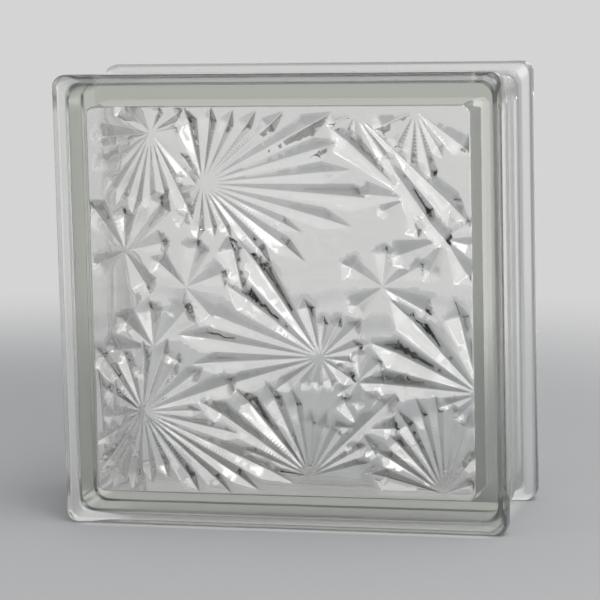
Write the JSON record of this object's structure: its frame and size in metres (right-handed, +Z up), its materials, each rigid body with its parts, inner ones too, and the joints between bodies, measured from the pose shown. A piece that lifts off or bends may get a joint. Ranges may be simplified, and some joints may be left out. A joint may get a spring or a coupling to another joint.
{
  "type": "glass block",
  "caption": "Hollow square glass block of two pressed halves fused at a seam, with a mortar channel round its edges and star-shaped relief inside its front face.",
  "frame": {"origin": "middle of the lower edge's footprint: centre of the bounding box in X and Y, at its lowest level", "axes": "+Z up along the block's height, +X across its width, front face looking along -Y"},
  "size_m": [0.19, 0.08, 0.19],
  "materials": {
    "clear_glass": "fire-polished clear pressed glass with a faint green tint"
  },
  "bodies": {
    "root": {"front_half": "clear_glass", "back_half": "clear_glass"}
  },
  "joints": []
}
